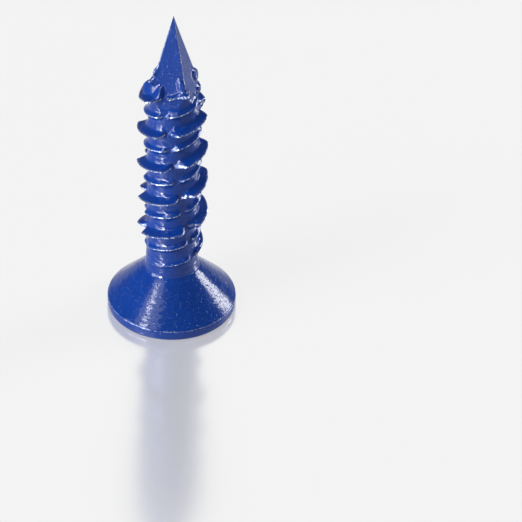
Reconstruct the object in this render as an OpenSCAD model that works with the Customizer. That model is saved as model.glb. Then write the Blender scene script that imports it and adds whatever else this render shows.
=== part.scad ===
// Countersunk concrete screw with a cross recess, a notched high-low thread and a nail point.
// It stands on the flat of its head: that face is z = 0, and the tip is at the top of the Z axis.

/* [Overall] */
// Length from the flat of the head to the tip
screw_length = 31.75; // [26:0.25:60]

/* [Head] */
// Diameter of the head
head_d = 11.55; // [10:0.05:14]
// Height of the straight edge round the head
head_edge_h = 0.95; // [0.7:0.05:1.6]
// Radius between that edge and the flat of the head
head_corner_r = 0.4; // [0.1:0.05:0.5]
// Radius of the shoulder between that edge and the cone
head_shoulder_r = 0.3; // [0.1:0.05:1]
// Included angle of the countersunk cone
head_cone_angle = 90; // [80:1:100]

/* [Cross recess] */
// Span across two opposite wings at the face
recess_span = 7.1; // [6:0.1:8]
// Width of a wing at the face
recess_wing_w = 1.25; // [0.9:0.05:1.8]
// Radius of the round corner between two wings
recess_corner_r = 1.5; // [0.4:0.05:2]
// Depth at the foot of the wings
recess_depth = 3.4; // [2:0.1:4]
// Depth of the point below the wings
recess_point_h = 0.7; // [0.2:0.05:1]
// Slope of the wing ends from the axis
recess_end_slope = 26.5; // [15:0.5:28]
// Draft of the wing sides
recess_draft = 5.75; // [0:0.25:7]

/* [Thread] */
// Diameter at the root
root_d = 4.45; // [4:0.05:4.8]
// Diameter of the neck under the head
neck_d = 4.7; // [4.5:0.05:5.2]
// Radius of the flare from the neck into the head
neck_flare_r = 0.7; // [0.3:0.05:1.2]
// Diameter over the high crest
high_d = 6.35; // [6:0.05:7]
// Diameter over the low crest
low_d = 5.2; // [5:0.05:5.6]
// Rise of either crest in one turn
lead = 3.67; // [3:0.01:4.5]
// Width of the high ridge at the root
high_base_w = 1.05; // [0.7:0.05:1.4]
// Width of the low ridge at the root
low_base_w = 0.9; // [0.6:0.05:1.2]
// Width of the land on either crest
crest_w = 0.14; // [0.06:0.02:0.3]
// Height at which the high crest crosses the front of the screw
crest_front_z = 9.65; // [8:0.05:12]
// Length of plain neck between the head and the ridges
run_in_gap = 0.35; // [0.2:0.05:2]
// Length over which the ridges rise to full height
run_in_length = 4.4; // [2:0.1:8]

/* [Notches] */
// Number of notch rows round the thread
notch_rows = 3; // [2, 3, 4, 5, 6]
// Height of the notch floor above the root
notch_floor = 0.05; // [0.02:0.01:0.2]
// Angle that a notch opens to on its steep side
notch_steep = 6; // [6:1:12]
// Angle that a notch opens to on its shallow side
notch_shallow = 24; // [12:1:30]
// Turn of the notch rows for each millimetre towards the head
notch_drift = 4.2; // [0:0.1:6]
// Length from the tip over which the notch rows run straight
notch_straight = 8.35; // [6:0.05:12]
// Direction of the first notch row where it leaves the point, seen from above
notch_heading = -113; // [-180:1:180]

/* [Point] */
// Angle of each face of the point from the axis
point_angle = 13.2; // [12:0.1:15]
// Angle from a face to the limit of the ridges that run out over it
point_run_out = 2.6; // [1:0.1:4]
// Angle from the first notch row to an edge of the point
point_turn = 54; // [0:6:84]
// Length over which the ridges sink to nothing, ending where the bare point starts
run_out_length = 2.2; // [1:0.1:4]
// Length of bare point
point_bare = 5.85; // [4.6:0.05:7]

/* [Hidden] */
$fn = 96;
paint = "#1c3f9e";
eps = 0.01;
// Number of steps in each rounded corner
arc_steps = 6;
// Largest share of a wing's side that its round corner takes
corner_share = 0.9;
point_faces = 4;
// Direction of the front of the screw, seen from above
FRONT = -90;

head_r = head_d / 2;
root_r = root_d / 2;
neck_r = neck_d / 2;
cone_slope = tan(head_cone_angle / 2);
// Where the shoulder ends and the cone starts
cone_r = head_r - head_shoulder_r * (1 - cos(head_cone_angle / 2));
cone_z = head_edge_h + head_shoulder_r * sin(head_cone_angle / 2);
// Height at which the cone would meet the neck
neck_z = cone_z + (cone_r - neck_r) / cone_slope;
// Inside the screw, the cone goes on past the root by this much
cone_overlap = 0.4;
cone_top_r = root_r - cone_overlap;
cone_top_z = cone_z + (cone_r - cone_top_r) / cone_slope;
// The flare is an arc that touches the neck at its top and the cone at its foot
flare_top_z = neck_z + neck_flare_r * tan(head_cone_angle / 4);
flare_h = neck_flare_r * sin(head_cone_angle / 2);
run_in_z = neck_z + run_in_gap;

// The thread is a grid: columns go round and rows follow the crests
columns = 60;
column_step = 360 / columns;
point_z = screw_length - point_bare;
// Above this height the columns stand straight, along the edges of the point
straight_z = screw_length - notch_straight;
// Rise of a row over one full turn of columns
row_rise = lead * 360 / (360 + notch_drift * lead);
// Height of the high crest on the first column
crest_z0 = crest_front_z - row_rise * (FRONT - notch_heading - drift(crest_front_z)) / 360;
// The grid starts inside the head, on a flat ring
shank_foot_z = head_edge_h / 2;

// One lead of the ridge profile: distance along the screw, share of high ridge, share of low ridge
profile = [
    [-high_base_w / 2, 0, 0],
    [-crest_w / 2, 1, 0],
    [crest_w / 2, 1, 0],
    [high_base_w / 2, 0, 0],
    [row_rise / 4, 0, 0],
    [(row_rise - low_base_w) / 2, 0, 0],
    [(row_rise - crest_w) / 2, 0, 1],
    [(row_rise + crest_w) / 2, 0, 1],
    [(row_rise + low_base_w) / 2, 0, 0],
    [row_rise * 3 / 4, 0, 0]
];
profile_rows = len(profile);
turns = ceil(screw_length / row_rise) + 1;
rows = [
    for (turn = [-turns:turns], p = profile)
    let (z = crest_z0 + turn * row_rise + p[0])
    if (z > shank_foot_z + eps && z <= point_z)
    [z, p[1], p[2]]
];
row_count = len(rows);

// Angle by which the columns have turned at height z
function drift(z) = notch_drift * max(0, straight_z - z);

// Smooth step from 0 to 1
function ease(t) =
    let (s = min(1, max(0, t)))
    s * s * (3 - 2 * s);

// Angle from a column to the middle of the nearest of count equal sectors, the first centred on start
function from_sector(angle, start, count) =
    let (sector = 360 / count, turned = angle - start + sector / 2)
    turned - sector * floor(turned / sector) - sector / 2;

// Radius of a flat-faced square point whose faces lean by angle lean
function face_radius(angle, z, lean) =
    (screw_length - z) * tan(lean) / cos(from_sector(angle, point_turn + 180 / point_faces, point_faces));

// Radius of the shank between the ridges, flared into the head
function core_radius(z) =
    let (
        sink = min(flare_h, max(0, flare_top_z - z)),
        flare = neck_flare_r - sqrt(pow(neck_flare_r, 2) - pow(sink, 2))
    )
    root_r + (neck_r - root_r) * (1 - ease((z - neck_z) / run_in_length)) + flare;

// Radius of a notch's two flat walls, which open from its floor to the high crest
function notch_radius(angle) =
    let (
        from_row = from_sector(angle, 0, notch_rows),
        reach = from_row < 0 ? notch_steep : notch_shallow,
        floor_r = root_r + notch_floor,
        lean = (cos(reach) - floor_r / (high_d / 2)) / sin(reach),
        fall = cos(from_row) - lean * sin(abs(from_row))
    )
    abs(from_row) >= reach ? high_d : floor_r / fall;

function surface_radius(angle, z, high, low) =
    let (
        body = min(core_radius(z), face_radius(angle, z, point_angle)),
        ridge = (high * (high_d / 2 - root_r) + low * (low_d / 2 - root_r))
            * ease((z - run_in_z) / run_in_length)
            * ease((point_z - z) / run_out_length),
        limit = min(face_radius(angle, z, point_angle + point_run_out), notch_radius(angle))
    )
    body + max(0, min(ridge, limit - body));

function grid_point(row, column) =
    let (
        angle = column * column_step,
        z = rows[row][0] + row_rise * column / columns,
        r = surface_radius(angle, z, rows[row][1], rows[row][2]),
        heading = notch_heading + angle + drift(z)
    )
    [r * cos(heading), r * sin(heading), z];

function foot_point(column) =
    let (heading = notch_heading + column * column_step + drift(shank_foot_z))
    [neck_r * cos(heading), neck_r * sin(heading), shank_foot_z];

// Number of a grid point, where the last column runs on into the first, one lead higher up
function at(row, column) =
    column < columns ? row * columns + column : (row + profile_rows) * columns;

// Head blank: edge with round corners and the countersunk cone
module head_blank() {
    corner = [head_r - head_corner_r, head_corner_r];
    shoulder = [head_r - head_shoulder_r, head_edge_h];
    rotate_extrude()
        polygon(concat(
            [[0, 0]],
            [
                for (i = [0:arc_steps])
                let (a = -90 + 90 * i / arc_steps)
                corner + head_corner_r * [cos(a), sin(a)]
            ],
            [
                for (i = [0:arc_steps])
                let (a = head_cone_angle / 2 * i / arc_steps)
                shoulder + head_shoulder_r * [cos(a), sin(a)]
            ],
            [[cone_top_r, cone_top_z], [0, cone_top_z]]
        ));
}

module threaded_shank() {
    ring = row_count * columns;
    foot = ring + columns;
    tip = foot + 1;
    last = row_count - 1;
    points = concat(
        [for (row = [0:last], column = [0:columns - 1]) grid_point(row, column)],
        [for (column = [0:columns - 1]) foot_point(column)],
        [[0, 0, shank_foot_z], [0, 0, screw_length]]
    );
    grid_faces = [
        for (row = [0:last - 1], column = [0:columns - 1])
        if (column < columns - 1 || row + 1 + profile_rows <= last)
        each [
            [at(row, column), at(row + 1, column), at(row + 1, column + 1)],
            [at(row, column), at(row + 1, column + 1), at(row, column + 1)]
        ]
    ];
    foot_faces = concat(
        [for (column = [0:columns - 1]) [foot, ring + column, ring + (column + 1) % columns]],
        [for (column = [0:columns - 1]) [ring + column, at(0, column), at(0, column + 1)]],
        [for (column = [0:columns - 2]) [ring + column, at(0, column + 1), ring + column + 1]],
        [for (row = [0:profile_rows - 1]) [ring + columns - 1, at(row + 1, 0), at(row, 0)]],
        [[ring + columns - 1, at(0, 0), ring]]
    );
    tip_faces = concat(
        [for (column = [0:columns - 2]) [tip, at(last, column + 1), at(last, column)]],
        [[tip, at(last, 0), at(last, columns - 1)]],
        [
            for (row = [last - profile_rows:last - 1])
            [at(last, 0), at(row, columns - 1), at(row + 1, columns - 1)]
        ]
    );
    polyhedron(points, concat(grid_faces, foot_faces, tip_faces));
}

// Outline of the recess at a depth: four wings with round corners between them
function recess_outline(depth) =
    let (
        wing = recess_wing_w / 2 - depth * tan(recess_draft),
        reach = recess_span / 2 - depth * tan(recess_end_slope),
        corner = min(recess_corner_r, corner_share * (reach - wing)),
        centre = (wing + corner) * [1, 1]
    )
    [
        for (quarter = [0:3])
        let (
            quadrant = concat(
                [[reach, -wing], [reach, wing]],
                [for (i = [0:arc_steps]) centre - corner * [sin(90 * i / arc_steps), cos(90 * i / arc_steps)]]
            )
        )
        for (p = quadrant)
        let (c = cos(90 * quarter), s = sin(90 * quarter))
        [c * p[0] - s * p[1], s * p[0] + c * p[1]]
    ];

module cross_recess() {
    upper = recess_outline(-eps);
    lower = recess_outline(recess_depth);
    n = len(upper);
    points = concat(
        [for (p = upper) [p[0], p[1], -eps]],
        [for (p = lower) [p[0], p[1], recess_depth]],
        [[0, 0, recess_depth + recess_point_h], [0, 0, -eps]]
    );
    faces = [
        for (i = [0:n - 1])
        let (next = (i + 1) % n)
        each [
            [i, i + n, next + n],
            [i, next + n, next],
            [2 * n, next + n, i + n],
            [2 * n + 1, i, next]
        ]
    ];
    polyhedron(points, faces);
}

module concrete_screw() {
    color(paint)
        difference() {
            union() {
                head_blank();
                threaded_shank();
            }
            cross_recess();
        }
}

concrete_screw();
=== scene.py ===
# %% [markdown]
# # A concrete screw, standing on its head
#
# The real screw is cold headed from steel wire, its point is pinched square between two dies,
# its thread is rolled on, and the whole is dipped in blue paint and baked. The CAD model holds
# all of that in coarse facets. Here the same sizes make one fine skin with rounded edges, and
# then come its paint, a floor, the lights and the camera.

# %% Load the CAD model
import math

import bpy
import numpy as np
from mathutils import Matrix, Vector


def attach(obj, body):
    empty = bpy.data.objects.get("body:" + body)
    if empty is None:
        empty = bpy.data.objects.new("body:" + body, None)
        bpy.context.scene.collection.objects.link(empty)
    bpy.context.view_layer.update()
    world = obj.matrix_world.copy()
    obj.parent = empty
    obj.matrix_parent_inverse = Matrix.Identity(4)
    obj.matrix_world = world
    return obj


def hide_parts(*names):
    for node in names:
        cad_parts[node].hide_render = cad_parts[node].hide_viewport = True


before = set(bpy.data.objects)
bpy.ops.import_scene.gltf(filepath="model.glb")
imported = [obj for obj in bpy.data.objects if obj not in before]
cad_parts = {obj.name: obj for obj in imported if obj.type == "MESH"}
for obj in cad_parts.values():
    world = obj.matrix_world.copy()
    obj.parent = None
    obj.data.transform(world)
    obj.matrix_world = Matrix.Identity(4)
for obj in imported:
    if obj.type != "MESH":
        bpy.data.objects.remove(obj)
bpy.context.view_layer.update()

MM = 0.001

# %% [markdown]
# ## The camera
#
# A product photo of something this small is taken from far away with a long lens, so that its
# upright edges stay nearly parallel. Three things are read from the photo: how steeply the
# round head is seen, which gives the elevation, how many pixels a millimetre takes, which gives
# the lens, and where the head stands in the frame, which gives the aim. The screw also leans
# a little to the right, so the camera is rolled a little.

# %% Make the camera
PHOTO_PX = 522
PX_PER_MM = 11.1
HEAD_PX = (171.6, 302.2)
ELEVATION = math.radians(37.5)
ROLL = math.radians(0.9)
CAMERA_AWAY = 0.7
SENSOR_MM = 36

looks = Vector((0, math.cos(ELEVATION), -math.sin(ELEVATION)))
rightwards = Matrix.Rotation(-ROLL, 3, looks) @ Vector((1, 0, 0))
upwards = rightwards.cross(looks)
metres_per_px = MM / PX_PER_MM
aim = rightwards * (PHOTO_PX / 2 - HEAD_PX[0]) + upwards * (HEAD_PX[1] - PHOTO_PX / 2)
camera_data = bpy.data.cameras.new("camera")
camera_data.sensor_width = SENSOR_MM
camera_data.lens = SENSOR_MM * CAMERA_AWAY / (PHOTO_PX * metres_per_px)
camera = bpy.data.objects.new("camera", camera_data)
camera.location = aim * metres_per_px - looks * CAMERA_AWAY
camera.rotation_euler = Matrix((rightwards, upwards, -looks)).transposed().to_euler()
bpy.context.collection.objects.link(camera)
bpy.context.scene.camera = camera
print("lens in mm:", round(camera_data.lens))

# %% [markdown]
# ## The sizes
#
# They are the CAD model's own, in millimetres and degrees, so that the fine skin lies on the
# coarse one. Angles are counted from the first row of notches. The second row is turned by
# a few degrees from its even place, to where the photo shows it.

# %% Write down the sizes
LENGTH = 31.75
HEAD_R, HEAD_EDGE_H, HEAD_CORNER_R, HEAD_SHOULDER_R = 11.55 / 2, 0.95, 0.4, 0.3
CONE_HALF = 45
ROOT_R, NECK_R, NECK_FLARE_R = 4.45 / 2, 4.7 / 2, 0.7
HIGH_R, LOW_R, LEAD, CREST_FRONT_Z = 6.35 / 2, 5.2 / 2, 3.67, 9.65
RUN_IN_GAP, NECK_FADE = 0.35, 4.4
NOTCH_ROWS = (0, 109, 240)
NOTCH_DRIFT, NOTCH_STRAIGHT, NOTCH_HEADING = 4.2, 8.35, -113
POINT_LEAN, POINT_TURN, POINT_FACES = 13.2, 54, 4
FRONT = -90

cone_slope = math.radians(CONE_HALF)
CONE_R = HEAD_R - HEAD_SHOULDER_R * (1 - math.cos(cone_slope))
CONE_Z = HEAD_EDGE_H + HEAD_SHOULDER_R * math.sin(cone_slope)
NECK_Z = CONE_Z + (CONE_R - NECK_R) / math.tan(cone_slope)
FLARE_TOP_Z = NECK_Z + NECK_FLARE_R * math.tan(cone_slope / 2)
STRAIGHT_Z = LENGTH - NOTCH_STRAIGHT
ROW_RISE = LEAD * 360 / (360 + NOTCH_DRIFT * LEAD)
print("neck starts at", round(FLARE_TOP_Z, 2), "mm, a row climbs", round(ROW_RISE, 2), "mm")

# %% [markdown]
# ## Small tools for the shank
#
# The shank is worked out as a radius over a grid of angles and heights. Points are spent where
# the shape turns: `gathered` spaces them closer round the crests and notches. `ease` fades a
# ridge in or out, and `soft_min` and `soft_max` join two surfaces with a rounded edge, as
# rolling and paint leave it.

# %% Define the tools
def gathered(count, period, pulls):
    """Positions over one period, closer together near each pull (centre, width, strength).

    A density is 1 plus a bell for every pull. Its running total, cut into equal steps, is read
    backwards to give the positions."""
    fine = np.linspace(0, period, 6001)
    density = np.ones_like(fine)
    for centre, width, strength in pulls:
        away = (fine - centre + period / 2) % period - period / 2
        density += strength * np.exp(-((away / width) ** 2))
    total = np.concatenate(([0], np.cumsum((density[1:] + density[:-1]) / 2)))
    return np.interp(np.arange(count) / count * total[-1], total, fine)


def ease(t):
    """Smooth step: 0 up to 0, 1 from 1, and three t squared less two t cubed between."""
    t = np.clip(t, 0, 1)
    return t * t * (3 - 2 * t)


def soft_min(a, b, width):
    """The smaller of two values; where they differ by less than width, a parabola joins them."""
    h = np.clip(0.5 + 0.5 * (b - a) / width, 0, 1)
    return a * h + b * (1 - h) - width * h * (1 - h)


def soft_max(a, b, width):
    """The larger of two values, joined in the same way."""
    return -soft_min(-a, -b, width)


def turned(angle, start, period):
    """Signed angle from the nearest of the directions start, start + period, and so on."""
    return (angle - start + period / 2) % period - period / 2


print("eased halfway:", float(ease(0.5)))

# %% [markdown]
# ## The thread's profile
#
# Two ridges share one lead: a high one that cuts the concrete and a low one that steadies the
# screw in the hole. Each has a narrow land, a steep straight flank and a hollow foot that
# fades into the root. The hollow foot matters to the eye: it is what catches the light.

# %% Define the thread's profile
def ridge_form(along, land, flank, foot, foot_share):
    """Height of a ridge as a share of the whole, at a distance along the screw from its crest.

    Beside the land, half of whose width is given, the flank falls in a straight line. Lower
    down the larger value is a parabola, foot_share high on the crest line and 0 at the foot."""
    along = np.abs(along)
    straight = 1 - (along - land) / flank
    hollow = foot_share * np.clip(1 - along / foot, 0, None) ** 2
    return soft_min(soft_max(straight, hollow, width=0.16), 1.0, width=0.1)


ROWS = 34
mid_lead = ROW_RISE / 2
high_pulls = [(0, 0.1, 9), (0.3, 0.12, 4), (-0.3, 0.12, 4)]
low_pulls = [(mid_lead, 0.1, 6), (mid_lead + 0.3, 0.14, 2), (mid_lead - 0.3, 0.14, 2)]
row_rise = gathered(ROWS, ROW_RISE, high_pulls + low_pulls)
to_high = turned(row_rise, 0, ROW_RISE)
to_low = row_rise - mid_lead
high_form = ridge_form(to_high, land=0.05, flank=0.3, foot=1.0, foot_share=0.34)
low_form = ridge_form(to_low, land=0.05, flank=0.34, foot=0.75, foot_share=0.3)
crest_rows = int((np.maximum(high_form, low_form) > 0.9).sum())
print("rows in one lead:", ROWS, "of which on crests:", crest_rows)

# %% [markdown]
# ## The rod and its square point
#
# Under the thread lies a rod, a little thicker at the neck. Two dies pinch its end to a point
# with four faces. A cone would be simpler, but the flat faces and their edges are what shows.

# %% Define the rod's radius
POINT_EDGE_SHARE, POINT_EDGE_MM, NEVER_ZERO = 0.3, 0.16, 1e-9


def drift(z):
    """Angle by which a notch row has turned at a height: a fixed turn for each millimetre."""
    return NOTCH_DRIFT * np.maximum(0, STRAIGHT_Z - z)


def core_radius(z):
    """Radius between the ridges: the root's, plus the neck's extra that eases out upwards."""
    return ROOT_R + (NECK_R - ROOT_R) * (1 - ease((z - NECK_Z) / NECK_FADE))


def from_face(angle):
    """Signed angle from the middle of the nearest face of the point, up to 45 degrees."""
    return turned(angle, POINT_TURN + 180 / POINT_FACES, 360 / POINT_FACES)


def point_radius(angle, z):
    """Radius of the square point: a face's distance from the axis, over the cosine of the angle
    from its middle, with the edge between two faces rounded."""
    away = np.abs(from_face(angle))
    face = (LENGTH - z) * math.tan(math.radians(POINT_LEAN))
    own = face / np.cos(np.radians(away))
    next_one = face / np.cos(np.radians(np.minimum(90 - away, 80)))
    rounding = np.minimum(POINT_EDGE_SHARE * face, POINT_EDGE_MM) + NEVER_ZERO
    return soft_min(own, next_one, rounding)


def rod_radius(angle, z):
    """The smaller of the core's and the point's radius."""
    return soft_min(core_radius(z), point_radius(angle, z), width=0.12)


print("point starts at", round(LENGTH - ROOT_R / math.tan(math.radians(POINT_LEAN)), 1), "mm")

# %% [markdown]
# ## The notches
#
# Three rows of notches cut both ridges, so that the thread saws its way into the concrete.
# They are rolled in with the thread. On one side a notch ends the ridge in a round tongue, on
# the other in a flat slant that leans a little upwards and flashes in the light.

# %% Define the notches
TONGUE, HIGH_SLANT, LOW_SLANT, SLANT_TILT, NOTCH_HALF, NOTCH_FLOOR = 17, 20, 14, 26, 2.5, 0.02


def from_notch(angle):
    """Signed angle from the nearest row of notches, chosen by the least size."""
    away = turned(np.asarray(angle)[..., None], np.array(NOTCH_ROWS), 360)
    nearest = np.abs(away).argmin(axis=-1)[..., None]
    return np.take_along_axis(away, nearest, axis=-1)[..., 0]


def tongue(away):
    """Share of a ridge left before a notch: a quarter of a sine wave that rises from it."""
    return np.sin(math.pi / 2 * np.clip((-away - NOTCH_HALF) / TONGUE, 0, 1))


def slant_radius(away, crest_r, reach):
    """Radius of the flat slant behind a notch, from just above the root to a crest.

    A straight line in polar form: its least value over the cosine less a share of the sine. Far
    behind the notch it is larger than any crest, so that it cuts nothing there."""
    away = np.radians(np.maximum(away, 0))
    reach = math.radians(reach)
    floor_r = ROOT_R + NOTCH_FLOOR
    lean = (math.cos(reach) - floor_r / crest_r) / math.sin(reach)
    fall = np.cos(away) - lean * np.sin(away)
    return np.where(away < 1.5 * reach, floor_r / np.maximum(fall, 0.3), 2 * HIGH_R)


def notched(stand, along, away, rod, crest_r, slant):
    """A ridge's height once a notch has cut all of it that stands above the notch's floor:
    before the notch the tongue's share of it, behind the notch no more than the slant. Over
    the point, where the rod is thinner than the root, the slant sinks with it."""
    base = soft_min(stand, NOTCH_FLOOR, width=0.03)
    before = base + (stand - base) * tongue(away)
    start = NOTCH_HALF + SLANT_TILT * np.clip(along, -0.2, 0.5)
    rise = slant_radius(away - start, crest_r, slant) - np.maximum(rod, ROOT_R)
    behind = soft_min(stand, rise, width=0.04)
    return np.where(away < 0, before, np.maximum(behind, base))


print("notch rows at", NOTCH_ROWS, "degrees")

# %% [markdown]
# ## The ridges along the screw
#
# Above the head the ridges rise slowly out of the neck. At the point they run out, later on
# its edges than on its faces, because more metal is there to roll.

# %% Define the ridges' height
RUN_IN_Z, RUN_IN_LENGTH = NECK_Z + RUN_IN_GAP, 4.0
HIGH_END_Z, LOW_END_Z, RUN_OUT_LENGTH, LAST_Z = 24.75, 25.2, 1.25, 26.2
HIGH_ON_EDGE, LOW_ON_EDGE, ROOM_SLOPE, ROOM_LEAST = 0.5, 0.9, 0.45, 0.02


def ridges(angle, z, high_form, low_form, to_high, to_low):
    """Height of both ridges over the rod: each form times its full height, eased in above the
    neck and out at the point, cut by the notches, and the two added."""
    edge = (from_face(angle) / 45) ** 2
    run_in = ease((z - RUN_IN_Z) / RUN_IN_LENGTH)
    high_out = ease((HIGH_END_Z + HIGH_ON_EDGE * edge - z) / RUN_OUT_LENGTH)
    low_out = ease((LOW_END_Z + LOW_ON_EDGE * edge - z) / RUN_OUT_LENGTH)
    room = np.clip((LAST_Z - z) * ROOM_SLOPE, 0, None) + ROOM_LEAST
    high_stand = high_form * (HIGH_R - ROOT_R) * run_in * high_out
    high_stand = soft_min(high_stand, room, width=0.05)
    low_stand = low_form * (LOW_R - ROOT_R) * run_in * low_out
    away, rod = from_notch(angle), rod_radius(angle, z)
    stands = notched(high_stand, to_high, away, rod, HIGH_R, HIGH_SLANT)
    return np.maximum(stands + notched(low_stand, to_low, away, rod, LOW_R, LOW_SLANT), 0)


print("thread from", round(RUN_IN_Z, 1), "to", LOW_END_Z, "mm")

# %% [markdown]
# ## Rolled metal on the point
#
# Where the thread runs out, the rollers squeeze some metal up on to the point: a few lumps, a
# lip that climbs across a face, and one broad scale, which lies over an edge. They could be
# sculpted, but as patches added to the radius they stay part of the one closed skin.

# %% Define the lumps and the scale
# Angle from the front, height, climb in mm for a degree, half of the width in degrees, half of
# the height in mm, and how far it stands out
LUMPS = [
    (-66, 26.2, 0, 12, 0.45, 0.28),
    (-70, 25.35, 0, 13, 0.35, 0.3),
    (22, 25.45, 0, 9, 0.55, 0.24),
    (112, 24.9, 0, 14, 0.6, 0.3),
    (-150, 25.2, 0, 16, 0.5, 0.3),
    (14, 24.6, 0.02, 24, 0.13, 0.13),
]
SCALE_PATCH, SCALE_FACING = (-59, 24.5, 0, 32, 1.0), -52
SCALE_AWAY, SCALE_LEAN, SCALE_DROP, SCALE_REACH = 2.17, 0.52, 0.4, 1.2


def patch_share(heading, z, angle, middle, climb, wide, tall):
    """Distance from the middle of an oval patch of the skin, 1 on its border. The oval's long
    axis climbs by a fixed height for each degree."""
    side = turned(heading, FRONT + angle, 360)
    return np.hypot(side / wide, (z - middle - climb * side) / tall)


def with_rolled_metal(r, heading, z):
    """The radius plus each lump, a bell of the sixth power, and over it the scale: a plane, whose
    distance falls upwards, over the cosine of the angle from where it faces. It drops with the
    twelfth power of the distance from its middle."""
    lumps = sum(rise * np.exp(-(patch_share(heading, z, *patch) ** 6)) for *patch, rise in LUMPS)
    side = np.radians(np.clip(turned(heading, FRONT + SCALE_FACING, 360), -60, 60))
    away = SCALE_AWAY - SCALE_LEAN * np.clip(z - SCALE_PATCH[1], -SCALE_REACH, SCALE_REACH)
    drop = SCALE_DROP * np.minimum(patch_share(heading, z, *SCALE_PATCH), 1.5) ** 12
    return soft_max(r + lumps, away / np.cos(side) - drop, width=0.08)


print("lumps and lip on the point:", len(LUMPS))

# %% [markdown]
# ## The shank's skin
#
# Rows that follow the crests keep them crisp with few points: each row climbs with the thread,
# so its end meets the start of the row one turn further on. The rows would begin inside the
# head and end beyond the tip. There they are drawn together: every point below the neck is the
# neck's own point in that column, and every point above the tip is the tip.

# %% Make the shank's grid
COLUMNS = 252
tongue_pulls = [(row - 8, 8, 2.0) for row in NOTCH_ROWS]
slant_pulls = [(row + 12, 11, 1.5) for row in NOTCH_ROWS]
edge_pulls = [(POINT_TURN + 90 * k, 4, 1.5) for k in range(POINT_FACES)]
angle = gathered(COLUMNS, 360, tongue_pulls + slant_pulls + edge_pulls)
crest_z0 = CREST_FRONT_Z - ROW_RISE * (FRONT - NOTCH_HEADING - drift(CREST_FRONT_Z)) / 360
first_turn = math.floor((FLARE_TOP_Z - crest_z0) / ROW_RISE) - 2
last_turn = math.ceil((LENGTH - crest_z0) / ROW_RISE) + 1
turns = np.arange(first_turn, last_turn + 1)
row_z = (crest_z0 + turns[:, None] * ROW_RISE + row_rise[None, :]).ravel()
z = row_z[:, None] + ROW_RISE * angle[None, :] / 360
on_shank = np.clip(z, FLARE_TOP_Z, LENGTH - 1e-6)
by_row = [np.tile(v, len(turns))[:, None] for v in (high_form, low_form, to_high, to_low)]
stands = ridges(angle[None, :], on_shank, *by_row)
heading = NOTCH_HEADING + angle[None, :] + drift(z)
r = with_rolled_metal(rod_radius(angle[None, :], on_shank) + stands, heading, on_shank)
ways = np.radians(heading)
shank_points = np.stack((r * np.cos(ways), r * np.sin(ways), z), axis=-1).reshape(-1, 3)
print("shank grid:", z.shape[0], "rows by", COLUMNS, "columns")

# %% [markdown]
# ## The shank's triangles
#
# Each cell of the grid gives two triangles. The last column is joined to the first, one turn
# further on. Points are known by their numbers, so drawing rows together is only a matter of
# giving many of them the same number.

# %% Join the shank's grid
ring_start = len(shank_points)
tip = ring_start + COLUMNS
number = np.arange(z.size).reshape(z.shape)
number = np.where(z <= FLARE_TOP_Z, ring_start + np.arange(COLUMNS)[None, :], number)
number = np.where(z >= LENGTH, tip, number)
one_turn_on = np.concatenate((number[ROWS:, 0], np.full(ROWS, tip)))
beside = np.concatenate((number[:, 1:], one_turn_on[:, None]), axis=1)


def grid_triangles(here, there):
    """Two triangles for each cell between the points of a grid and those one column on."""
    a, b, c, d = here[:-1], there[:-1], there[1:], here[1:]
    halves = np.stack((a, b, c), axis=-1), np.stack((a, c, d), axis=-1)
    return np.concatenate([half.reshape(-1, 3) for half in halves])


shank_triangles = grid_triangles(number, beside)
print("shank triangles before thinning:", len(shank_triangles))

# %% [markdown]
# ## Worn places on the shank
#
# In packing and handling the paint wears off what stands out: the crests, the head's shoulder
# and the edges of the point. A shader could find such places, but here the shape is known, so
# each point is simply told how worn it is.

# %% Work out the wear
CREST_FROM, CREST_SPAN, FULL_STAND = 0.92, 0.06, 0.3
EDGE_WEAR, EDGE_FROM, EDGE_SPAN, EDGE_Z, EDGE_FADE = 0.9, 42, 3, 25, 0.6
form = np.maximum(by_row[0], by_row[1])
crest_wear = ease((form - CREST_FROM) / CREST_SPAN) * np.clip(stands / FULL_STAND, 0, 1)
on_edge = ease((np.abs(from_face(angle)) - EDGE_FROM) / EDGE_SPAN)
edge_wear = EDGE_WEAR * on_edge * ease((z - EDGE_Z) / EDGE_FADE)
shank_worn = np.maximum(crest_wear, edge_wear).ravel()
print("worn share of the shank's points:", round(float((shank_worn > 0.5).mean()), 3))

# %% [markdown]
# ## The head
#
# From the neck down the head is round: a flare, the cone, a small shoulder, the straight edge
# and a round corner on to the flat. One line of radius and height, carried round the same
# columns as the shank, makes it all, and so the two meet without a seam.

# %% Make the head
def arc(centre_r, centre_z, radius, start, end, steps):
    """Points of a circle's arc as radius and height, from one angle in degrees to another."""
    a = np.radians(np.linspace(start, end, steps))
    return np.stack((centre_r + radius * np.cos(a), centre_z + radius * np.sin(a)), axis=-1)


ring_r = float(core_radius(np.array(FLARE_TOP_Z)))
flare = arc(ring_r + NECK_FLARE_R, FLARE_TOP_Z, NECK_FLARE_R, 180, 180 + CONE_HALF, steps=10)
shoulder = arc(HEAD_R - HEAD_SHOULDER_R, HEAD_EDGE_H, HEAD_SHOULDER_R, CONE_HALF, 0, steps=7)
corner = arc(HEAD_R - HEAD_CORNER_R, HEAD_CORNER_R, HEAD_CORNER_R, 0, -90, steps=9)
cone = flare[-1] + (shoulder[0] - flare[-1]) * np.linspace(0, 1, 14)[1:-1, None]
outline = np.concatenate((flare, cone, shoulder, corner))
ring_ways = np.radians(NOTCH_HEADING + angle + drift(FLARE_TOP_Z))
rounds = np.stack((np.cos(ring_ways), np.sin(ring_ways)), axis=-1)
head_points = np.concatenate(
    (outline[:, None, :1] * rounds, np.repeat(outline[:, None, 1:], COLUMNS, axis=1)), axis=-1
).reshape(-1, 3)
SHOULDER_WEAR = 0.6
shoulder_worn = np.zeros(len(outline))
shoulder_worn[-len(corner) - 4 : -len(corner) - 2] = SHOULDER_WEAR  # two rings of the shoulder
head_worn = np.repeat(shoulder_worn, COLUMNS)
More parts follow.
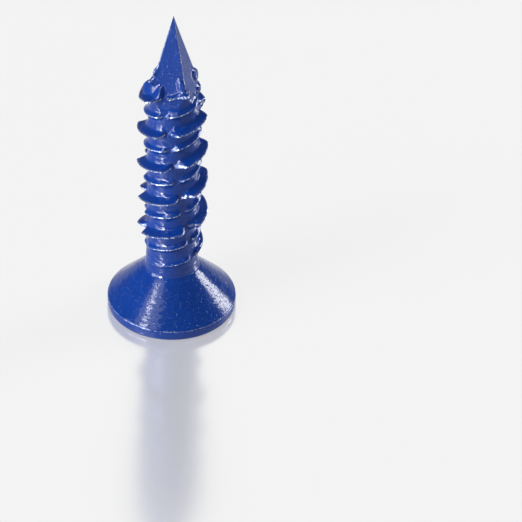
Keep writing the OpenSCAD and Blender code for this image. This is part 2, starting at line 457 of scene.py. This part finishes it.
print("head outline:", len(outline), "points, widest", round(outline[:, 0].max() * 2, 2), "mm")

# %% [markdown]
# ## The head's triangles
#
# The rings of the head are joined as the shank's rows are. Its first ring is the neck's, which
# the shank already uses, so that the two are one skin. A loft between curves could do the same,
# but its points wouldn't match the shank's.

# %% Join the head's rings
head_number = ring_start + np.arange(len(head_points)).reshape(len(outline), COLUMNS)
head_number[1:] += 1  # the tip's number comes after the first ring
head_triangles = grid_triangles(head_number, np.roll(head_number, -1, axis=1))[:, ::-1]
face_loop = head_number[-1]
print("head triangles:", len(head_triangles))

# %% [markdown]
# ## The cross recess
#
# A cold punch presses it into the flat of the head: four wings with round corners between
# them, walls that lean so that the punch comes out, and a short point at the bottom. It could
# be cut with a Boolean modifier. Here its outline at each depth is one loop of points, and the
# loops are joined downwards, which keeps the skin closed and its edges clean.

# %% Make the recess
RECESS_SPAN, RECESS_WING_W, RECESS_CORNER_R, RECESS_LIP_R = 7.1, 1.25, 1.5, 0.12
RECESS_DEPTH, RECESS_POINT_H, RECESS_END_SLOPE, RECESS_DRAFT = 3.4, 0.7, 26.5, 5.75
END_STEPS, SIDE_STEPS, BEND_STEPS = 9, 5, 15


def recess_loop(depth, grow):
    """Outline at a depth, grown by an extra width: end and side of a wing, then an arc to the
    next wing, turned four times by a quarter."""
    wing = RECESS_WING_W / 2 - depth * math.tan(math.radians(RECESS_DRAFT)) + grow
    reach = RECESS_SPAN / 2 - depth * math.tan(math.radians(RECESS_END_SLOPE)) + grow
    bend = min(RECESS_CORNER_R - grow, 0.9 * (reach - wing))
    end = np.stack((np.full(END_STEPS, reach), np.linspace(-wing, wing, END_STEPS)), axis=-1)
    bends = np.radians(np.linspace(0, 90, BEND_STEPS))
    between = wing + bend - bend * np.stack((np.sin(bends), np.cos(bends)), axis=-1)
    steps = np.linspace(0, 1, SIDE_STEPS)[1:-1, None]
    side = end[-1] + (between[0] - end[-1]) * steps
    quarter = np.concatenate((end, side, between, side[::-1, ::-1]))
    spin = np.radians(90 * np.arange(4))[:, None]
    x = quarter[:, 0] * np.cos(spin) - quarter[:, 1] * np.sin(spin)
    y = quarter[:, 0] * np.sin(spin) + quarter[:, 1] * np.cos(spin)
    return np.stack((x.ravel(), y.ravel(), np.full(x.size, depth)), axis=-1)


lip = [(1 - math.sin(a), 1 - math.cos(a)) for a in np.radians(np.linspace(90, 0, 5))]
lip_loops = [recess_loop(RECESS_LIP_R * deep, RECESS_LIP_R * wide) for deep, wide in lip]
wall_loops = [recess_loop(d, 0) for d in np.linspace(RECESS_LIP_R, RECESS_DEPTH, 12)[1:]]
foot_loop = wall_loops[-1]
floor_loops = [
    foot_loop * [share, share, 0] + [0, 0, RECESS_DEPTH + RECESS_POINT_H * (1 - share)]
    for share in np.linspace(1, 0, 6)[1:-1]
]
recess_bottom = [[0, 0, RECESS_DEPTH + RECESS_POINT_H]]
recess_points = np.concatenate((*lip_loops, *wall_loops, *floor_loops, recess_bottom))
print("recess loops:", len(lip_loops + wall_loops + floor_loops), "of", len(foot_loop), "points")

# %% [markdown]
# ## The recess's triangles
#
# Loop is joined to loop from the lip to the foot, and the last loop to the one lowest point. A
# fan like that is the simplest way to close a hole that comes to a point.

# %% Join the recess
recess_start = tip + 1 + len(head_points) - COLUMNS
loop_size = len(foot_loop)
recess_number = recess_start + np.arange(len(recess_points) - 1).reshape(-1, loop_size)
recess_triangles = grid_triangles(recess_number, np.roll(recess_number, -1, axis=1))[:, ::-1]
last_loop = recess_number[-1]
bottom = np.full(loop_size, recess_start + len(recess_points) - 1)
bottom_triangles = np.stack((np.roll(last_loop, -1), last_loop, bottom), axis=-1)
print("recess triangles:", len(recess_triangles) + len(bottom_triangles))

# %% [markdown]
# ## The flat of the head
#
# It is a ring between the head's round edge and the cross of the recess. The two loops have
# different numbers of points, so a plain grid can't join them. They are joined in the order
# of their angles instead, like a zip with uneven teeth.

# %% Join the flat
def ring_triangles(outer, outer_angle, inner, inner_angle):
    """Triangles between two loops round one centre, taken in the order of their angles.

    Each point closes a triangle with the point before it on its own loop and the point that
    was reached last on the other loop."""
    order = np.argsort(np.concatenate((outer_angle, inner_angle)), kind="stable")
    outer, inner = outer[np.argsort(outer_angle)], inner[np.argsort(inner_angle)]
    on_outer = order < len(outer)
    o, i = np.cumsum(on_outer) - 1, np.cumsum(~on_outer) - 1
    mine = np.where(on_outer, outer[o], inner[i])
    before = np.where(on_outer, outer[o - 1], inner[i - 1])
    other = np.where(on_outer, inner[i], outer[o])
    first, third = np.where(on_outer, before, mine), np.where(on_outer, mine, before)
    return np.stack((first, other, third), axis=-1)


lip_angle = np.arctan2(lip_loops[0][:, 1], lip_loops[0][:, 0])
face_angle = np.arctan2(np.sin(ring_ways), np.cos(ring_ways))
face_triangles = ring_triangles(face_loop, face_angle, recess_number[0], lip_angle)
print("triangles in the flat:", len(face_triangles))

# %% [markdown]
# ## One closed skin
#
# All triangles go into one mesh. Where rows were drawn together, triangles have shrunk to
# a line, and these are left out. On a closed skin every edge belongs to two triangles and is
# walked once in each direction, which is easy to count.

# %% Join the skin
points = np.concatenate(
    (shank_points, head_points[:COLUMNS], [[0, 0, LENGTH]], head_points[COLUMNS:], recess_points)
)
worn = np.concatenate(
    (shank_worn, head_worn[:COLUMNS], [0], head_worn[COLUMNS:], np.zeros(len(recess_points)))
)
triangles = np.concatenate(
    (shank_triangles, head_triangles, face_triangles, recess_triangles, bottom_triangles)
)
a, b, c = triangles.T
triangles = triangles[(a != b) & (b != c) & (c != a)]
used, triangles = np.unique(triangles, return_inverse=True)
triangles = triangles.reshape(-1, 3)
points, worn = points[used], worn[used]
walked = np.concatenate((triangles[:, [0, 1]], triangles[:, [1, 2]], triangles[:, [2, 0]]))
there = walked[:, 0] * len(points) + walked[:, 1]
and_back = walked[:, 1] * len(points) + walked[:, 0]
open_edges = int((~np.isin(there, and_back)).sum()) + len(there) - len(np.unique(there))
p, q, s = (points[triangles[:, k]] for k in range(3))
volume = float((p * np.cross(q, s)).sum() / 6)
print(len(triangles), "triangles, open edges:", open_edges, ", volume", round(volume, 1), "mm3")

# %% [markdown]
# ## The screw as a Blender object
#
# The points go into a mesh in metres, and the wear goes along as an attribute that the paint
# can read. The skin is shaded smooth. The crests and the walls of the notches keep a crisp
# edge, because an edge that turns by more than a set angle is marked sharp. The piece then
# takes the place of the CAD model's screw.

# %% Make the screw
CRISP_FROM = 38
mesh = bpy.data.meshes.new("screw_skin")
mesh.from_pydata(points * MM, [], triangles)
wear = mesh.attributes.new("worn", "FLOAT", "POINT")
wear.data.foreach_set("value", worn.astype(np.float32))
mesh.shade_smooth()
mesh.set_sharp_from_angle(angle=math.radians(CRISP_FROM))
screw = bpy.data.objects.new("screw_skin", mesh)
bpy.context.collection.objects.link(screw)
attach(screw, "root")
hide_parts("concrete_screw")
print("screw made with", len(mesh.vertices), "points")

# %% [markdown]
# ## Colours and nodes
#
# A colour picked from a photo is an sRGB value, and Blender's shaders reckon in linear light,
# so one function turns the first into the second. Another adds a node and wires it in one go,
# and a third starts a material with no nodes at all.

# %% Define the paint tools
def linear(hex_colour):
    """An sRGB colour such as "1c3f9e" as linear red, green, blue and full alpha.

    Dark values are divided by 12.92; others are shifted, scaled and raised to the power 2.4."""
    srgb = np.array([int(hex_colour[i : i + 2], 16) for i in (0, 2, 4)]) / 255
    light = np.where(srgb <= 0.04045, srgb / 12.92, ((srgb + 0.055) / 1.055) ** 2.4)
    return (*light.tolist(), 1.0)


def add_node(tree, kind, inputs, **settings):
    """Adds one node: settings are its own properties, inputs give each socket a value or a link."""
    node = tree.nodes.new(kind)
    for name, value in settings.items():
        setattr(node, name, value)
    for name, value in inputs.items():
        if isinstance(value, bpy.types.NodeSocket):
            tree.links.new(value, node.inputs[name])
        else:
            node.inputs[name].default_value = value
    return node


def new_material(name):
    """A material without nodes, and the tree to add them to."""
    material = bpy.data.materials.new(name)
    material.use_nodes = True
    material.node_tree.nodes.clear()
    return material, material.node_tree


print("mid grey in linear light:", round(linear("808080")[0], 3))

# %% [markdown]
# ## The paint's orange peel and streaks
#
# A dipped and baked polymer coat flows before it sets. It dries with the shallow dimples of
# orange peel, and it shows the marks of rolling and heading under it as streaks round the
# screw. Both are too fine to be worth any geometry, so they are height patterns from noise: one
# pressed a little flat, one drawn out sideways.

# %% Make the peel and the streaks
# Real ones are finer, at a guess half as coarse, and are drawn coarser here so that they show
PEEL_MM, STREAK_MM = 0.3, 0.28
PEEL_SHAPE, STREAK_SHAPE = (1, 1, 2), (0.24, 0.24, 1)
paint, tree = new_material("baked_blue_paint_on_steel")
place = add_node(tree, "ShaderNodeTexCoord", {}).outputs["Object"]
flatter = add_node(tree, "ShaderNodeMapping", {"Vector": place, "Scale": PEEL_SHAPE})
peel = add_node(
    tree,
    "ShaderNodeTexNoise",
    {"Vector": flatter.outputs["Vector"], "Scale": 1 / (PEEL_MM * MM), "Detail": 1.0},
)
longer = add_node(tree, "ShaderNodeMapping", {"Vector": place, "Scale": STREAK_SHAPE})
streak = add_node(
    tree,
    "ShaderNodeTexNoise",
    {"Vector": longer.outputs["Vector"], "Scale": 1 / (STREAK_MM * MM), "Detail": 0.5},
)
print("peel", PEEL_MM, "mm, streaks", STREAK_MM, "mm")

# %% [markdown]
# ## Where the streaks lie
#
# The rolled shank is streaked more deeply than the headed cone, and the pinched point hardly at
# all. Three materials could do that, but there is one coat of paint. So the streaks are
# multiplied by a share that changes with the height up the screw.

# %% Fade the streaks
HEAD_STREAKS, POINT_STREAKS = 0.38, 0.15
HEAD_FADE_MM, POINT_FADE_MM = (4, 5), (25, 23.5)
up_screw = add_node(tree, "ShaderNodeSeparateXYZ", {"Vector": place}).outputs["Z"]
above_head, below_point = (
    add_node(
        tree,
        "ShaderNodeMapRange",
        {"Value": up_screw, "From Min": start * MM, "From Max": end * MM, "To Min": share},
    ).outputs["Result"]
    for (start, end), share in ((HEAD_FADE_MM, HEAD_STREAKS), (POINT_FADE_MM, POINT_STREAKS))
)
rolled = add_node(tree, "ShaderNodeMath", {0: above_head, 1: below_point}, operation="MULTIPLY")
streaks = add_node(
    tree,
    "ShaderNodeMath",
    {0: streak.outputs["Fac"], 1: rolled.outputs[0]},
    operation="MULTIPLY",
)
print("streaks on the head:", HEAD_STREAKS, "of those on the shank")

# %% [markdown]
# ## The paint's nibs and its relief
#
# Specks of dust stand in the coat as nibs: the highest spots of a fine noise, with nothing
# between them. Three Bump nodes in a row then bend the light by the peel, the streaks and the
# nibs, each by its own height in millimetres. Real displacement would need far more triangles.

# %% Make the nibs and the relief
NIB_MM, NIB_FROM, NIB_TO = 0.16, 0.66, 0.76
PEEL_DEEP_MM, STREAK_DEEP_MM, NIB_HIGH_MM = 0.011, 0.075, 0.02
nib = add_node(
    tree, "ShaderNodeTexNoise", {"Vector": place, "Scale": 1 / (NIB_MM * MM), "Detail": 0.0}
)
nibs = add_node(
    tree,
    "ShaderNodeMapRange",
    {"Value": nib.outputs["Fac"], "From Min": NIB_FROM, "From Max": NIB_TO},
)
layers = [
    (peel.outputs["Fac"], PEEL_DEEP_MM),
    (streaks.outputs[0], STREAK_DEEP_MM),
    (nibs.outputs["Result"], NIB_HIGH_MM),
]
under = {}
for height, deep in layers:
    surface = add_node(tree, "ShaderNodeBump", {"Height": height, "Distance": deep * MM, **under})
    under = {"Normal": surface.outputs["Normal"]}
print("surface nodes:", len(tree.nodes))

# %% [markdown]
# ## The paint's colour
#
# Its blue is deep and clouds a little with the thickness of the coat. Where the worn attribute
# is high, a finer pattern breaks it up into specks of bare bright steel, which is a metal and
# mirrors the white floor.

# %% Make the paint's colour
CLOUD_MM, BREAK_FROM, BREAK_TO, LEAST_BARE = 2.0, 0.4, 0.62, 0.1
DEEP_BLUE, LIGHT_BLUE, BARE_STEEL = linear("0a3c98"), linear("1048ae"), linear("c3d0e6")
cloud = add_node(
    tree, "ShaderNodeTexNoise", {"Vector": place, "Scale": 1 / (CLOUD_MM * MM), "Detail": 2.0}
)
tint = add_node(
    tree,
    "ShaderNodeMix",
    {"Factor": cloud.outputs["Fac"], 6: DEEP_BLUE, 7: LIGHT_BLUE},
    data_type="RGBA",
)
worn_here = add_node(tree, "ShaderNodeAttribute", {}, attribute_name="worn")
broken = add_node(
    tree,
    "ShaderNodeMapRange",
    {
        "Value": nib.outputs["Fac"],
        "From Min": BREAK_FROM,
        "From Max": BREAK_TO,
        "To Min": LEAST_BARE,
    },
)
bare = add_node(
    tree,
    "ShaderNodeMath",
    {0: worn_here.outputs["Fac"], 1: broken.outputs["Result"]},
    operation="MULTIPLY",
)
colour = add_node(
    tree,
    "ShaderNodeMix",
    {"Factor": bare.outputs[0], 6: tint.outputs[2], 7: BARE_STEEL},
    data_type="RGBA",
)
print("colour nodes:", len(tree.nodes))

# %% [markdown]
# ## The paint's gloss
#
# A baked coat is glossy, with an IOR of about 1.46, as a polymer has. Its roughness is low,
# which gives the eye bright, narrow bands on the cone, and it varies a little with the clouds.
# On the rolled shank the coat lies smoother than on the head, so its glints are smaller and
# brighter. Worn steel is scuffed, and so rougher than the paint round it.

# %% Make the paint's gloss
LEAST_ROUGH, MOST_ROUGH, SHANK_SHARE, SCUFF, COAT_IOR = 0.11, 0.2, 0.5, 0.3, 1.46
gloss = add_node(
    tree,
    "ShaderNodeMapRange",
    {"Value": cloud.outputs["Fac"], "To Min": LEAST_ROUGH, "To Max": MOST_ROUGH},
)
smoother = add_node(
    tree,
    "ShaderNodeMapRange",
    {
        "Value": rolled.outputs[0],
        "From Min": HEAD_STREAKS,
        "To Min": 1.0,
        "To Max": SHANK_SHARE,
    },
)
scuffed = add_node(tree, "ShaderNodeMath", {0: bare.outputs[0], 1: SCUFF}, operation="MULTIPLY")
roughness = add_node(
    tree,
    "ShaderNodeMath",
    {0: gloss.outputs["Result"], 1: smoother.outputs["Result"], 2: scuffed.outputs[0]},
    operation="MULTIPLY_ADD",
)
coat = add_node(
    tree,
    "ShaderNodeBsdfPrincipled",
    {
        "Base Color": colour.outputs[2],
        "Metallic": bare.outputs[0],
        "Roughness": roughness.outputs[0],
        "IOR": COAT_IOR,
        "Normal": surface.outputs["Normal"],
    },
)
add_node(tree, "ShaderNodeOutputMaterial", {"Surface": coat.outputs["BSDF"]})
mesh.materials.append(paint)
print("paint nodes:", len(tree.nodes))

# %% [markdown]
# ## White that is only seen
#
# A floor that is lit to white would need more light than the screw can bear. So the floor and
# the card behind the screw have a white of their own, for the camera, for reflections and for
# clear bodies only. Both are plain rectangles, and belong to the stage and not to the screw.

# %% Define the stage tools
def only_seen(tree):
    """1 for a ray from the camera, off a gloss or through a clear body, and 0 for any other.

    It is the largest of what Light Path says of the three."""
    ray = add_node(tree, "ShaderNodeLightPath", {}).outputs
    seen = ray["Is Camera Ray"]
    for other in (ray["Is Glossy Ray"], ray["Is Transmission Ray"]):
        larger = add_node(tree, "ShaderNodeMath", {0: seen, 1: other}, operation="MAXIMUM")
        seen = larger.outputs[0]
    return seen


def flat_sheet(name, centre, across, along, material):
    """A rectangle from its centre and its two half sides, as vectors in metres."""
    centre, across, along = (np.array(v, dtype=float) for v in (centre, across, along))
    signs = np.array([(-1, -1), (1, -1), (1, 1), (-1, 1)])
    sheet_mesh = bpy.data.meshes.new(name)
    corners = centre + signs[:, :1] * across + signs[:, 1:] * along
    sheet_mesh.from_pydata(corners, [], [(0, 1, 2, 3)])
    sheet_mesh.materials.append(material)
    sheet = bpy.data.objects.new(name, sheet_mesh)
    bpy.context.collection.objects.link(sheet)
    return sheet


WHITE = linear("ffffff")
print("white in linear light:", WHITE[0])

# %% [markdown]
# ## The floor
#
# The real ground is a white sheet with a satin gloss, bright and even, in which the head
# stands on its own blurred likeness. Part of its white is its own, and the rest is lit and
# keeps the shadow. White and gloss are the same all over. More gloss would mirror the head more
# strongly, but from other sides it would mirror the dim room too and turn the floor grey.

# %% Make the floor
FLOOR_WHITE, FLOOR_GLOSS, FLOOR_ROUGH, FLOOR_HALF = 0.7, 0.42, 0.17, 1.5
satin, tree = new_material("satin_white_sheet")
own_share = add_node(
    tree, "ShaderNodeMath", {0: only_seen(tree), 1: FLOOR_WHITE}, operation="MULTIPLY"
)
lit = add_node(tree, "ShaderNodeBsdfDiffuse", {"Color": linear("e6e6e8")})
own = add_node(tree, "ShaderNodeEmission", {"Color": WHITE, "Strength": 1.0})
white = add_node(
    tree, "ShaderNodeMixShader", {0: own_share.outputs[0], 1: lit.outputs[0], 2: own.outputs[0]}
)
shine = add_node(tree, "ShaderNodeBsdfGlossy", {"Color": WHITE, "Roughness": FLOOR_ROUGH})
satin_white = add_node(
    tree, "ShaderNodeMixShader", {0: FLOOR_GLOSS, 1: white.outputs[0], 2: shine.outputs[0]}
)
add_node(tree, "ShaderNodeOutputMaterial", {"Surface": satin_white.outputs[0]})
floor = flat_sheet("floor", (0, 0, 0), (FLOOR_HALF, 0, 0), (0, FLOOR_HALF, 0), satin)
print("floor made:", floor.name)

# %% [markdown]
# ## The backdrop
#
# A gloss needs something to mirror: a white card behind the screw, in the direction that the
# floor mirrors to the camera. It is only seen and mirrored, and lights nothing. A bright world
# would be simpler, but the dark paint would then mirror white on every side.

# %% Make the backdrop
CARD_AWAY, CARD_HALF = 1.2, 0.44
card, tree = new_material("white_card")
glow = add_node(tree, "ShaderNodeEmission", {"Color": WHITE, "Strength": only_seen(tree)})
add_node(tree, "ShaderNodeOutputMaterial", {"Surface": glow.outputs[0]})
mirrored = np.array((0, math.cos(ELEVATION), math.sin(ELEVATION)))
card_up = CARD_HALF * np.array((0, -mirrored[2], mirrored[1]))
backdrop = flat_sheet("backdrop", mirrored * CARD_AWAY, (CARD_HALF, 0, 0), card_up, card)
print("backdrop made:", backdrop.name)

# %% [markdown]
# ## The light
#
# One large softbox to the left models the round forms. The other lamps are there for their
# reflections: one at the front left draws the band down the cone, a small spot adds glints to
# it, and a strip at the back right draws the bright band on the other side. A low strip draws
# the glints in the hollow feet of the thread. It is only mirrored, because its light would
# flatten the forms. A dim even surround fills the shadows, and stays dim because a glossy dark
# paint shows whatever surrounds it.

# %% Make the lights
def softbox(name, direction, away, size, level, lights=True):
    """A rectangular lamp that faces the screw from a direction, a distance away in metres.

    Level is how brightly it lights a white card that faces it, 1 being white. A lamp of P watts
    gives P / (pi squared times the distance squared). One that doesn't light is only mirrored."""
    lamp = bpy.data.lights.new(name, "AREA")
    lamp.shape = "RECTANGLE"
    lamp.size, lamp.size_y = size
    lamp.energy = level * (math.pi * away) ** 2
    stand = bpy.data.objects.new(name, lamp)
    way = Vector(direction).normalized()
    stand.location = way * away + Vector((0, 0, LENGTH / 2 * MM))
    stand.rotation_euler = (-way).to_track_quat("-Z", "Y").to_euler()
    stand.visible_diffuse = lights
    bpy.context.collection.objects.link(stand)
    return stand


lamps = [
    softbox("softbox_left", (-0.9, -0.42, 0.1), 0.6, (0.3, 0.3), 0.8),
    softbox("softbox_front_left", (-0.54, -0.43, 0.722), 0.5, (0.28, 0.28), 0.22),
    softbox("low_strip_front_left", (-0.7, -0.69, 0.2), 0.5, (0.08, 0.2), 0.75, lights=False),
    softbox("spot_front_left", (-0.58, -0.39, 0.715), 0.45, (0.05, 0.05), 0.1),
    softbox("strip_back_right", (0.856, 0.394, 0.335), 0.5, (0.16, 0.19), 0.55),
]
SURROUND_LEVEL = 0.11
world = bpy.data.worlds.new("surround")
bpy.context.scene.world = world
world.use_nodes = True
surround = world.node_tree.nodes["Background"]
surround.inputs["Color"].default_value = WHITE
surround.inputs["Strength"].default_value = SURROUND_LEVEL
bpy.context.scene.view_settings.view_transform = "Standard"
print("lamps:", [lamp.name for lamp in lamps])
